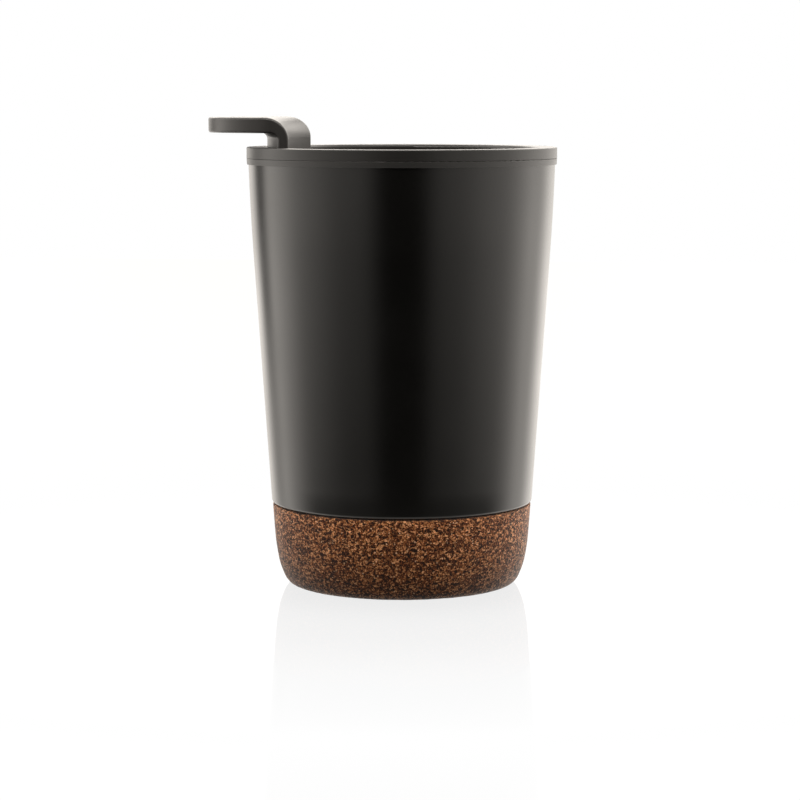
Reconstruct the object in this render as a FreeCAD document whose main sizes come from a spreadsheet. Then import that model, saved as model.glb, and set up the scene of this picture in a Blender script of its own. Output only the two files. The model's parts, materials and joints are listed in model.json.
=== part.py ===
"""Double-wall travel cup with a cork base and a quarter-turn lid closure.

Frame: millimetres, +Z up, origin at the centre of the base on the surface the cup stands on.
The closure's tab points along -X at rest (closed), and the drink hole is on the +X side.
Every size below comes from the sheet "Dims"; each sub-part is one body bound to its cells.
"""
import FreeCAD, Part
import math
import os
from collections import namedtuple

import Sketcher

Vector = FreeCAD.Vector
Rule = Sketcher.Constraint
Side = namedtuple("Side", "geometry start end")

BASE_SCREWS = 3
TAB_SWEEP = 100.0

DIMENSIONS = [
    # cup, outside
    ("rim_radius", 44.0),
    ("rim_bottom", 119.9),
    ("rim_top", 121.6),
    ("rim_draft", 0.1),
    ("rim_outer_round", 0.1),
    ("rim_inner_round", 0.4),
    ("sleeve_wall", 0.5),
    ("sleeve_bottom", 23.5),
    ("sleeve_bottom_radius", 37.23),
    ("sleeve_bottom_round", 1.0),
    ("sleeve_bow_start", 95.0),
    ("sleeve_bow_start_radius", 42.2),
    ("sleeve_bow_radius", 650.0),
    ("sleeve_top_radius", 43.45),
    ("sleeve_lip_radius", 34.0),
    # liner
    ("liner_wall", 1.7),
    ("liner_floor", 13.0),
    ("liner_floor_radius", 29.5),
    ("liner_floor_round", 6.0),
    ("liner_shoulder", 104.0),
    ("liner_shoulder_radius", 39.6),
    ("neck_bottom", 108.0),
    ("neck_radius", 40.4),
    ("neck_wall", 1.5),
    ("rib_bottom", 25.2),
    ("rib_height", 1.4),
    ("rib_radius", 36.2),
    ("rim_seal_radius", 42.8),
    ("rim_seal_height", 2.5),
    ("base_seal_inner", 34.2),
    ("base_seal_outer", 36.1),
    # base
    ("cork_top", 23.2),
    ("cork_top_radius", 37.05),
    ("cork_top_round", 0.5),
    ("cork_bend_height", 17.0),
    ("cork_bend_radius", 36.6),
    ("cork_flank_height", 8.6),
    ("cork_flank_radius", 35.65),
    ("cork_heel_height", 2.0),
    ("cork_heel_radius", 33.5),
    ("cork_heel_round", 3.6),
    ("cork_foot_radius", 30.5),
    ("cork_bore_radius", 34.0),
    ("cork_floor", 4.0),
    ("cork_bore_round", 7.0),
    ("cork_hatch_radius", 24.0),
    ("foot_pad_radius", 26.0),
    ("foot_pad_gap", 0.1),
    ("foot_pad_height", 1.5),
    ("carrier_floor", 2.0),
    ("carrier_inner_radius", 32.6),
    ("carrier_flange_radius", 35.4),
    ("carrier_flange_height", 1.3),
    ("screw_circle_radius", 20.0),
    ("screw_hole_radius", 1.6),
    ("screw_shank_radius", 1.25),
    ("screw_post_radius", 3.5),
    ("base_screw_length", 6.8),
    ("base_screw_head_radius", 2.8),
    ("base_screw_head_height", 1.3),
    # lid
    ("lid_top", 124.75),
    ("lid_bottom", 121.68),
    ("lid_edge_round", 0.3),
    ("recess_radius", 38.55),
    ("recess_edge_round", 0.8),
    ("deck_top", 117.5),
    ("deck_bottom", 115.5),
    ("plug_bottom", 110.2),
    ("plug_radius", 39.6),
    ("plug_inner_radius", 36.4),
    ("plug_inner_round", 1.0),
    ("plug_edge_round", 0.8),
    ("seal_groove_bottom", 112.0),
    ("seal_groove_top", 115.6),
    ("seal_groove_radius", 38.2),
    ("seal_lip_radius", 40.34),
    ("seal_lip_height", 0.35),
    ("seal_lip_taper", 1.05),
    ("seal_lower_lip", 1.08),
    ("seal_upper_lip", 2.88),
    ("seal_land_gap", 0.2),
    ("hub_bottom", 113.5),
    ("hub_radius", 5.8),
    ("hub_round", 0.6),
    ("bore_radius", 3.05),
    ("o_ring_groove_bottom", 115.55),
    ("o_ring_groove_radius", 4.5),
    ("o_ring_groove_height", 1.5),
    ("o_ring_section", 0.7),
    ("o_ring_radius", 3.76),
    ("o_ring_lift", 0.05),
    # ports through the lid deck and the closure disc
    ("port_radius", 30.0),
    ("port_half_width", 3.6),
    ("port_half_angle", 17.0),
    ("vent_radius", 1.5),
    ("vent_angle", 150.0),
    ("gasket_gap", 1.2),
    ("gasket_width", 1.4),
    ("gasket_seat", 0.8),
    ("gasket_height", 1.1),
    ("vent_gasket_gap", 0.7),
    ("vent_gasket_width", 1.2),
    # closure
    ("quarter_turn", 90.0),
    ("disc_radius", 38.1),
    ("disc_bottom", 117.9),
    ("disc_top", 120.1),
    ("disc_edge", 0.4),
    ("stud_radius", 3.0),
    ("stud_bottom", 112.9),
    ("pilot_depth", 6.1),
    ("stop_track_radius", 20.0),
    ("stop_angle", 225.0),
    ("stop_radius", 1.6),
    ("stop_clearance", 0.3),
    ("stop_height", 1.45),
    ("stop_root", 0.5),
    ("stop_track_depth", 1.3),
    ("tab_wall", 2.8),
    ("tab_half_width", 20.6),
    ("tab_top", 133.15),
    ("tab_bottom", 128.8),
    ("tab_end_centre", 34.7),
    ("tab_bend_radius", 6.0),
    ("tab_heel_radius", 1.8),
    ("tab_edge_round", 0.65),
    ("cut_margin", 5.0),
    # closure fixing, below the lid
    ("spring_height", 0.5),
    ("spring_thickness", 0.3),
    ("spring_inset", 0.8),
    ("spring_lift", 0.05),
    ("bore_gap", 0.1),
    ("washer_radius", 6.0),
    ("washer_thickness", 0.6),
    ("pivot_screw_length", 6.5),
    ("pivot_screw_head_radius", 3.0),
    ("pivot_screw_head_height", 1.6),
    ("cross_half_length", 1.5),
    ("cross_half_width", 0.35),
    ("cross_depth", 0.8),
]


class Size:
    """A number together with the sheet formula that it comes from."""

    def __init__(self, value, formula):
        self.value = value
        self.formula = formula

    def joined(self, other, sign, value):
        return Size(value, "(%s %s %s)" % (self.formula, sign, as_size(other).formula))

    def __add__(self, other):
        return self.joined(other, "+", self.value + as_size(other).value)

    def __sub__(self, other):
        return self.joined(other, "-", self.value - as_size(other).value)

    def __mul__(self, other):
        return self.joined(other, "*", self.value * as_size(other).value)

    def __truediv__(self, other):
        return self.joined(other, "/", self.value / as_size(other).value)

    def __neg__(self):
        return Size(-self.value, "(0 - %s)" % self.formula)


def as_size(number):
    if isinstance(number, Size):
        return number
    return Size(float(number), repr(float(number)))


def polar(radius, angle):
    """The point at a radius and an angle in degrees, as two sizes."""
    radius = as_size(radius)
    angle = as_size(angle)
    turn = math.radians(angle.value)
    along = Size(math.cos(turn), "cos(%s * 1deg)" % angle.formula)
    across = Size(math.sin(turn), "sin(%s * 1deg)" % angle.formula)
    return radius * along, radius * across


ZERO = as_size(0)


class Sheet:
    """The driving dimensions: sheet.name is the size in the cell with that alias."""

    def __init__(self, doc):
        sheet = doc.addObject("Spreadsheet::Sheet", "Dims")
        for row, (alias, value) in enumerate(DIMENSIONS, start=1):
            sheet.set("A%d" % row, alias)
            sheet.set("B%d" % row, str(value))
            sheet.setAlias("B%d" % row, alias)
            setattr(self, alias, Size(float(value), "Dims.%s" % alias))
        doc.recompute()


# ---------------------------------------------------------------- sketches and features

def new_body(doc, label):
    body = doc.addObject("PartDesign::Body", label)
    body.Label = label
    return body


def place(body, height=ZERO, x=ZERO, y=ZERO):
    """Set the body's Placement and bind it to the sheet."""
    body.Placement = FreeCAD.Placement(Vector(x.value, y.value, height.value), FreeCAD.Rotation())
    for axis, size in (("x", x), ("y", y), ("z", height)):
        body.setExpression("Placement.Base.%s" % axis, size.formula)


def new_sketch(body, name, role, offset=ZERO):
    """A sketch on one of the body's own origin planes, lifted along its normal."""
    plane = [feature for feature in body.Origin.OriginFeatures if feature.Role == role][0]
    sketch = body.newObject("Sketcher::SketchObject", name)
    sketch.AttachmentSupport = [(plane, "")]
    sketch.MapMode = "FlatFace"
    sketch.setExpression("AttachmentOffset.Base.z", offset.formula)
    return sketch


def bind(sketch, rule, size):
    index = sketch.addConstraint(rule)
    sketch.setExpression("Constraints[%d]" % index, size.formula)


def fix_point(sketch, geometry, end, x, y):
    """Hold one end of a curve at x, y, measured from the sketch origin."""
    if x is ZERO:
        sketch.addConstraint(Rule("PointOnObject", geometry, end, -2))
    else:
        bind(sketch, Rule("DistanceX", -1, 1, geometry, end, x.value), x)
    if y is ZERO:
        sketch.addConstraint(Rule("PointOnObject", geometry, end, -1))
    else:
        bind(sketch, Rule("DistanceY", -1, 1, geometry, end, y.value), y)


def corner_trim(before, corner, after, radius):
    """Where a round of this radius leaves the two straight sides of a corner."""
    back = (before - corner).normalize()
    ahead = (after - corner).normalize()
    half = math.acos(max(-1.0, min(1.0, back.dot(ahead)))) / 2
    reach = radius / math.tan(half)
    bisector = (back + ahead).normalize()
    middle = corner + bisector * (radius / math.sin(half) - radius)
    return corner + back * reach, middle, corner + ahead * reach


def arc_middle(start, end, bulge):
    """Halfway point of the arc that leaves its chord by the bulge, to the left if positive."""
    chord = end - start
    left = Vector(-chord.y, chord.x, 0).normalize()
    return (start + end) * 0.5 + left * bulge


def radius_bulge(start, end, radius, side):
    half = (end - start).Length / 2
    return side * (radius - math.sqrt(max(radius ** 2 - half ** 2, 0.0)))


def tangent_bulge(start, end, heading):
    """Bulge of the arc from start to end that sets off along the heading."""
    chord = end - start
    turn = math.atan2(heading.x * chord.y - heading.y * chord.x, heading.dot(chord))
    return -math.tan(turn / 2) * chord.Length / 2


def add_arc(sketch, start, middle, end):
    """Add an arc; sketch arcs run anticlockwise, so a clockwise one is stored reversed."""
    leftward = (middle - start).cross(end - middle).z > 0
    if leftward:
        return Side(sketch.addGeometry(Part.Arc(start, middle, end)), 1, 2)
    return Side(sketch.addGeometry(Part.Arc(end, middle, start)), 2, 1)


def end_heading(start, middle, end):
    """Direction in which the arc through three points arrives at its end."""
    chord = end - start
    first = middle - start
    half = math.atan2(first.x * chord.y - first.y * chord.x, first.dot(chord))
    angle = math.atan2(chord.y, chord.x) + 2 * half
    return Vector(math.cos(angle), math.sin(angle), 0)


class Corner:
    """A corner of an outline and the way that the side before it reaches it.

    fillet: radius that rounds the corner between two straight sides.
    radius and side: the side before it is an arc, bulging left (1) or right (-1).
    smooth: the side before it is an arc that carries on the direction of the last side.
    """

    def __init__(self, x, y, fillet=None, radius=None, side=1, smooth=False):
        self.x = as_size(x) if x is not ZERO else ZERO
        self.y = as_size(y) if y is not ZERO else ZERO
        self.fillet = fillet
        self.radius = radius
        self.side = side
        self.smooth = smooth
        self.at = Vector(self.x.value, self.y.value, 0)


def draw_outline(sketch, corners):
    """Draw a closed outline through the corners, every size bound to the sheet."""
    count = len(corners)
    rounds = {}
    for i, corner in enumerate(corners):
        if corner.fillet is not None:
            before = corners[i - 1].at
            after = corners[(i + 1) % count].at
            rounds[i] = corner_trim(before, corner.at, after, corner.fillet.value)
    sides = []
    heading = None
    for i in range(count):
        target = (i + 1) % count
        corner = corners[target]
        start = rounds[i][2] if i in rounds else corners[i].at
        end = rounds[target][0] if target in rounds else corner.at
        if corner.smooth or corner.radius is not None:
            if corner.smooth:
                bulge = tangent_bulge(start, end, heading)
            else:
                bulge = radius_bulge(start, end, corner.radius.value, corner.side)
            middle = arc_middle(start, end, bulge)
            sides.append(add_arc(sketch, start, middle, end))
            heading = end_heading(start, middle, end)
        else:
            sides.append(Side(sketch.addGeometry(Part.LineSegment(start, end)), 1, 2))
            heading = (end - start).normalize()
    for i, corner in enumerate(corners):
        last = sides[i - 1]
        following = sides[i]
        if i in rounds:
            arc = add_arc(sketch, *rounds[i])
            sketch.addConstraint(Rule("Tangent", last.geometry, last.end, arc.geometry, arc.start))
            sketch.addConstraint(
                Rule("Tangent", arc.geometry, arc.end, following.geometry, following.start))
            bind(sketch, Rule("Radius", arc.geometry, corner.fillet.value), corner.fillet)
            point = sketch.addGeometry(Part.Point(corner.at), True)
            sketch.addConstraint(Rule("PointOnObject", point, 1, last.geometry))
            sketch.addConstraint(Rule("PointOnObject", point, 1, following.geometry))
            fix_point(sketch, point, 1, corner.x, corner.y)
            continue
        smooth = corners[(i + 1) % count].smooth
        meeting = "Tangent" if smooth else "Coincident"
        sketch.addConstraint(
            Rule(meeting, last.geometry, last.end, following.geometry, following.start))
        fix_point(sketch, following.geometry, following.start, corner.x, corner.y)
    for i in range(count):
        corner = corners[(i + 1) % count]
        if corner.radius is not None:
            rule = Rule("Radius", sides[i].geometry, corner.radius.value)
            bind(sketch, rule, corner.radius)


def draw_circle(sketch, x, y, radius):
    """A circle at x, y whose centre and radius are bound to the sheet."""
    circle = Part.Circle(Vector(x.value, y.value, 0), Vector(0, 0, 1), radius.value)
    index = sketch.addGeometry(circle)
    bind(sketch, Rule("Radius", index, radius.value), radius)
    fix_point(sketch, index, 3, x, y)


def revolve(body, name, corners, angle=360.0):
    """Turn an outline, drawn in the XZ plane, about Z; a part turn is centred on the plane."""
    sketch = new_sketch(body, name + "_outline", "XZ_Plane")
    draw_outline(sketch, corners)
    feature = body.newObject("PartDesign::Revolution", name)
    feature.Profile = sketch
    feature.ReferenceAxis = (sketch, ["V_Axis"])
    feature.Angle = angle
    feature.Midplane = angle < 360.0
    body.Document.recompute()
    return feature


def pad(body, name, sketch, length):
    feature = body.newObject("PartDesign::Pad", name)
    feature.Profile = sketch
    feature.setExpression("Length", length.formula)
    body.Document.recompute()
    return feature


def pocket(body, name, sketch, depth, upward=False):
    """Cut a sketch down, or up, into the body; it must take material away."""
    before = body.Shape.Volume
    feature = body.newObject("PartDesign::Pocket", name)
    feature.Profile = sketch
    feature.Reversed = upward
    feature.setExpression("Length", depth.formula)
    body.Document.recompute()
    if body.Shape.Volume > before - 1e-6:
        raise RuntimeError("pocket %s removes nothing" % name)
    return feature


def repeat_round_axis(body, name, feature, copies):
    """Repeat a feature evenly about Z and make the pattern the body's result."""
    axis = [item for item in body.Origin.OriginFeatures if item.Role == "Z_Axis"][0]
    pattern = body.newObject("PartDesign::PolarPattern", name)
    pattern.Originals = [feature]
    pattern.Axis = (axis, [""])
    pattern.Angle = 360.0
    pattern.Occurrences = copies
    body.Tip = pattern
    body.Document.recompute()
    return pattern


def edges_where(body, wanted):
    """Names of the edges of the body's shape that the test picks."""
    names = []
    for number, edge in enumerate(body.Shape.Edges, start=1):
        if wanted(edge):
            names.append("Edge%d" % number)
    if not names:
        raise RuntimeError("no edge found on %s" % body.Label)
    return names


def soften(body, name, kind, wanted, size):
    """Fillet or chamfer the picked edges."""
    base = body.Tip
    names = edges_where(body, wanted)
    feature = body.newObject("PartDesign::" + kind, name)
    feature.Base = (base, names)
    feature.setExpression("Radius" if kind == "Fillet" else "Size", size.formula)
    body.Document.recompute()
    return feature


def level_ring(radius, height):
    """Test for a full circular edge of this radius at this height."""
    def wanted(edge):
        curve = edge.Curve
        if not isinstance(curve, Part.Circle) or abs(curve.Radius - radius) > 0.01:
            return False
        return abs(edge.BoundBox.ZMin - height) < 0.01 and edge.BoundBox.ZLength < 0.01
    return wanted


# ---------------------------------------------------------------- cup body

def make_cork_base(doc, d):
    """Agglomerated cork cup: rounded heel, bore for the carrier, hatch for the foot pad."""
    body = new_body(doc, "cork_base")
    seat = d.sleeve_bottom - d.carrier_flange_height
    corners = [
        Corner(d.foot_pad_radius, ZERO),
        Corner(d.cork_foot_radius, ZERO),
        Corner(d.cork_heel_radius, d.cork_heel_height, radius=d.cork_heel_round, side=-1),
        Corner(d.cork_flank_radius, d.cork_flank_height, smooth=True),
        Corner(d.cork_bend_radius, d.cork_bend_height, smooth=True),
        Corner(d.cork_top_radius, d.cork_top, fillet=d.cork_top_round),
        Corner(d.carrier_flange_radius, d.cork_top),
        Corner(d.carrier_flange_radius, seat),
        Corner(d.cork_bore_radius, seat),
        Corner(d.cork_bore_radius, d.cork_floor, fillet=d.cork_bore_round),
        Corner(d.cork_hatch_radius, d.cork_floor),
        Corner(d.cork_hatch_radius, d.foot_pad_height),
        Corner(d.foot_pad_radius, d.foot_pad_height),
    ]
    revolve(body, "cork", corners)
    place(body)
    return body


def make_foot_pad(doc, d):
    """Anti-slip disc that closes the hatch in the cork."""
    body = new_body(doc, "foot_pad")
    edge = d.foot_pad_radius - d.foot_pad_gap
    corners = [
        Corner(ZERO, ZERO),
        Corner(edge, ZERO),
        Corner(edge, d.foot_pad_height),
        Corner(ZERO, d.foot_pad_height),
    ]
    revolve(body, "pad", corners)
    place(body)
    return body


def make_base_carrier(doc, d):
    """Moulded cup inside the cork; its flange clamps the sleeve's lip."""
    body = new_body(doc, "base_carrier")
    floor_top = d.cork_floor + d.carrier_floor
    flange_bottom = d.sleeve_bottom - d.carrier_flange_height
    inner_round = d.cork_bore_round - (d.cork_bore_radius - d.carrier_inner_radius)
    corners = [
        Corner(ZERO, d.cork_floor),
        Corner(d.cork_bore_radius, d.cork_floor, fillet=d.cork_bore_round),
        Corner(d.cork_bore_radius, flange_bottom),
        Corner(d.carrier_flange_radius, flange_bottom),
        Corner(d.carrier_flange_radius, d.sleeve_bottom),
        Corner(d.carrier_inner_radius, d.sleeve_bottom),
        Corner(d.carrier_inner_radius, floor_top, fillet=inner_round),
        Corner(ZERO, floor_top),
    ]
    revolve(body, "carrier", corners)
    sketch = new_sketch(body, "screw_hole_circle", "XY_Plane", floor_top)
    draw_circle(sketch, d.screw_circle_radius, ZERO, d.screw_hole_radius)
    hole = pocket(body, "screw_hole", sketch, d.carrier_floor)
    repeat_round_axis(body, "screw_holes", hole, BASE_SCREWS)
    place(body)
    return body


def make_outer_sleeve(doc, d):
    """Thin steel sleeve: straight taper, gentle bow to the rim, lip turned in at the foot."""
    body = new_body(doc, "outer_sleeve")
    wall = d.sleeve_wall
    foot_inner = d.sleeve_bottom_radius - wall
    corners = [
        Corner(d.sleeve_lip_radius, d.sleeve_bottom),
        Corner(d.sleeve_bottom_radius, d.sleeve_bottom, fillet=d.sleeve_bottom_round),
        Corner(d.sleeve_bow_start_radius, d.sleeve_bow_start),
        Corner(d.sleeve_top_radius, d.rim_bottom, radius=d.sleeve_bow_radius, side=-1),
        Corner(d.sleeve_top_radius - wall, d.rim_bottom),
        Corner(d.sleeve_bow_start_radius - wall, d.sleeve_bow_start,
               radius=d.sleeve_bow_radius - wall, side=1),
        Corner(foot_inner, d.sleeve_bottom + wall, fillet=d.sleeve_bottom_round - wall),
        Corner(d.sleeve_lip_radius, d.sleeve_bottom + wall),
    ]
    revolve(body, "sleeve", corners)
    place(body)
    return body


def liner_outer_radius(d, height):
    """Outside radius of the liner's taper at a height."""
    rise = d.liner_shoulder - d.liner_floor
    slope = (d.liner_shoulder_radius - d.liner_floor_radius) / rise
    return d.liner_floor_radius + d.liner_wall + slope * (height - d.liner_floor)


def make_inner_liner(doc, d):
    """Moulded drinking vessel: tapered wall, sealing neck, rim and three screw posts."""
    body = new_body(doc, "inner_liner")
    underside = d.liner_floor - d.liner_wall
    rib_top = d.rib_bottom + d.rib_height
    neck_outer = d.neck_radius + d.neck_wall
    shoulder_outer = d.liner_shoulder_radius + d.liner_wall
    corners = [
        Corner(ZERO, d.liner_floor),
        Corner(ZERO, underside),
        Corner(liner_outer_radius(d, underside), underside,
               fillet=d.liner_floor_round + d.liner_wall),
        Corner(liner_outer_radius(d, d.rib_bottom), d.rib_bottom),
        Corner(d.rib_radius, d.rib_bottom),
        Corner(d.rib_radius, rib_top),
        Corner(liner_outer_radius(d, rib_top), rib_top),
        Corner(shoulder_outer, d.liner_shoulder),
        Corner(neck_outer, d.neck_bottom),
        Corner(neck_outer, d.rim_bottom),
        Corner(d.rim_radius - d.rim_draft, d.rim_bottom),
        Corner(d.rim_radius, d.rim_top, fillet=d.rim_outer_round),
        Corner(d.neck_radius, d.rim_top, fillet=d.rim_inner_round),
        Corner(d.neck_radius, d.neck_bottom),
        Corner(d.liner_shoulder_radius, d.liner_shoulder),
        Corner(d.liner_floor_radius, d.liner_floor, fillet=d.liner_floor_round),
    ]
    revolve(body, "vessel", corners)
    post_bottom = d.cork_floor + d.carrier_floor
    sketch = new_sketch(body, "post_rings", "XY_Plane", post_bottom)
    draw_circle(sketch, d.screw_circle_radius, ZERO, d.screw_post_radius)
    draw_circle(sketch, d.screw_circle_radius, ZERO, d.screw_shank_radius)
    overlap = d.liner_wall / as_size(2)
    post = pad(body, "post", sketch, underside - post_bottom + overlap)
    repeat_round_axis(body, "posts", post, BASE_SCREWS)
    place(body)
    return body


def make_ring(doc, label, inner, outer, height, level):
    """Plain moulded ring, drawn from its own underside and placed at its level."""
    body = new_body(doc, label)
    corners = [
        Corner(inner, ZERO),
        Corner(outer, ZERO),
        Corner(outer, height),
        Corner(inner, height),
    ]
    revolve(body, "ring", corners)
    place(body, level)
    return body


def make_screw(doc, d, label, size, level, x=ZERO, y=ZERO):
    """Pan-head screw pointing up from the underside of its head, with a cross recess."""
    head_radius, head_height, length = size
    body = new_body(doc, label)
    corners = [
        Corner(ZERO, -head_height),
        Corner(head_radius, -head_height, fillet=head_height / as_size(2)),
        Corner(head_radius, ZERO),
        Corner(d.screw_shank_radius, ZERO),
        Corner(d.screw_shank_radius, length),
        Corner(ZERO, length),
    ]
    revolve(body, "screw", corners)
    arm = d.cross_half_length
    thin = d.cross_half_width
    sketch = new_sketch(body, "recess_cross", "XY_Plane", -head_height)
    draw_outline(sketch, [
        Corner(arm, -thin),
        Corner(arm, thin),
        Corner(thin, thin),
        Corner(thin, arm),
        Corner(-thin, arm),
        Corner(-thin, thin),
        Corner(-arm, thin),
        Corner(-arm, -thin),
        Corner(-thin, -thin),
        Corner(-thin, -arm),
        Corner(thin, -arm),
        Corner(thin, -thin),
    ])
    pocket(body, "recess", sketch, d.cross_depth, upward=True)
    place(body, level, x, y)
    return body


# ---------------------------------------------------------------- lid body

def port_outline(d, angle, spread):
    """Kidney-shaped port centred on an angle, widened all round by the spread."""
    inner = d.port_radius - d.port_half_width - spread
    outer = d.port_radius + d.port_half_width + spread
    first = as_size(angle) - d.port_half_angle
    last = as_size(angle) + d.port_half_angle
    return [
        Corner(*polar(outer, first), smooth=True),
        Corner(*polar(outer, last), radius=outer, side=-1),
        Corner(*polar(inner, last), smooth=True),
        Corner(*polar(inner, first), radius=inner, side=1),
    ]


def make_lid_body(doc, d):
    """Plug lid: rim flange, sunk deck with pivot hub, ports, gasket seats and end stop."""
    body = new_body(doc, "lid_body")
    groove_top = d.o_ring_groove_bottom + d.o_ring_groove_height
    corners = [
        Corner(d.rim_radius, d.lid_bottom),
        Corner(d.rim_radius, d.lid_top, fillet=d.lid_edge_round),
        Corner(d.recess_radius, d.lid_top, fillet=d.recess_edge_round),
        Corner(d.recess_radius, d.deck_top),
        Corner(d.bore_radius, d.deck_top),
        Corner(d.bore_radius, groove_top),
        Corner(d.o_ring_groove_radius, groove_top),
        Corner(d.o_ring_groove_radius, d.o_ring_groove_bottom),
        Corner(d.bore_radius, d.o_ring_groove_bottom),
        Corner(d.bore_radius, d.hub_bottom),
        Corner(d.hub_radius, d.hub_bottom),
        Corner(d.hub_radius, d.deck_bottom, fillet=d.hub_round),
        Corner(d.plug_inner_radius, d.deck_bottom, fillet=d.plug_inner_round),
        Corner(d.plug_inner_radius, d.plug_bottom),
        Corner(d.plug_radius, d.plug_bottom, fillet=d.plug_edge_round),
        Corner(d.plug_radius, d.seal_groove_bottom),
        Corner(d.seal_groove_radius, d.seal_groove_bottom),
        Corner(d.seal_groove_radius, d.seal_groove_top),
        Corner(d.plug_radius, d.seal_groove_top),
        Corner(d.plug_radius, d.lid_bottom),
    ]
    revolve(body, "lid", corners)

    deck = d.deck_top - d.deck_bottom
    vent_x, vent_y = polar(d.port_radius, d.vent_angle)
    sketch = new_sketch(body, "drink_hole_outline", "XY_Plane", d.deck_top)
    draw_outline(sketch, port_outline(d, ZERO, ZERO))
    pocket(body, "drink_hole", sketch, deck)
    sketch = new_sketch(body, "vent_hole_circle", "XY_Plane", d.deck_top)
    draw_circle(sketch, vent_x, vent_y, d.vent_radius)
    pocket(body, "vent_hole", sketch, deck)

    spread = d.gasket_gap
    sketch = new_sketch(body, "drink_seat_outline", "XY_Plane", d.deck_top)
    draw_outline(sketch, port_outline(d, ZERO, spread))
    draw_outline(sketch, port_outline(d, ZERO, spread + d.gasket_width))
    pocket(body, "drink_seat", sketch, d.gasket_seat)
    inner = d.vent_radius + d.vent_gasket_gap
    sketch = new_sketch(body, "vent_seat_rings", "XY_Plane", d.deck_top)
    draw_circle(sketch, vent_x, vent_y, inner)
    draw_circle(sketch, vent_x, vent_y, inner + d.vent_gasket_width)
    pocket(body, "vent_seat", sketch, d.gasket_seat)

    stop_x, stop_y = polar(d.stop_track_radius, d.stop_angle)
    sketch = new_sketch(body, "stop_circle", "XY_Plane", d.deck_top - d.stop_root)
    draw_circle(sketch, stop_x, stop_y, d.stop_radius)
    pad(body, "stop", sketch, d.stop_height + d.stop_root)
    place(body)
    return body


def make_lid_seal(doc, d):
    """Silicone band in the plug's groove with two lips that wipe the liner's neck."""
    body = new_body(doc, "lid_seal")
    height = d.seal_groove_top - d.seal_groove_bottom
    land = d.plug_radius - d.seal_land_gap
    first = d.seal_lower_lip
    second = d.seal_upper_lip
    corners = [
        Corner(d.seal_groove_radius, ZERO),
        Corner(land, ZERO),
        Corner(d.seal_lip_radius, first - d.seal_lip_height),
        Corner(d.seal_lip_radius, first),
        Corner(land, first + d.seal_lip_height),
        Corner(land, second - d.seal_lip_taper),
        Corner(d.seal_lip_radius, second - d.seal_lip_height),
        Corner(d.seal_lip_radius, second),
        Corner(land, height),
        Corner(d.seal_groove_radius, height),
    ]
    revolve(body, "band", corners)
    place(body, d.seal_groove_bottom)
    return body


def make_drink_gasket(doc, d):
    """Silicone ring round the drink hole, standing a little proud of the deck."""
    body = new_body(doc, "drink_gasket")
    sketch = new_sketch(body, "gasket_outline", "XY_Plane")
    draw_outline(sketch, port_outline(d, ZERO, d.gasket_gap))
    draw_outline(sketch, port_outline(d, ZERO, d.gasket_gap + d.gasket_width))
    pad(body, "gasket", sketch, d.gasket_height)
    place(body, d.deck_top - d.gasket_seat)
    return body


def make_vent_gasket(doc, d):
    """Small silicone ring round the vent."""
    inner = d.vent_radius + d.vent_gasket_gap
    outer = inner + d.vent_gasket_width
    level = d.deck_top - d.gasket_seat
    body = make_ring(doc, "vent_gasket", inner, outer, d.gasket_height, level)
    vent_x, vent_y = polar(d.port_radius, d.vent_angle)
    place(body, level, vent_x, vent_y)
    return body


def make_pivot_o_ring(doc, d):
    """O-ring in the hub that seals round the closure's stud."""
    ring = doc.addObject("Part::Torus", "pivot_o_ring")
    ring.Label = "pivot_o_ring"
    ring.setExpression("Radius1", d.o_ring_radius.formula)
    ring.setExpression("Radius2", d.o_ring_section.formula)
    middle = d.o_ring_groove_bottom + d.o_ring_section + d.o_ring_lift
    place(ring, middle)
    return ring


# ---------------------------------------------------------------- closure body

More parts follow.
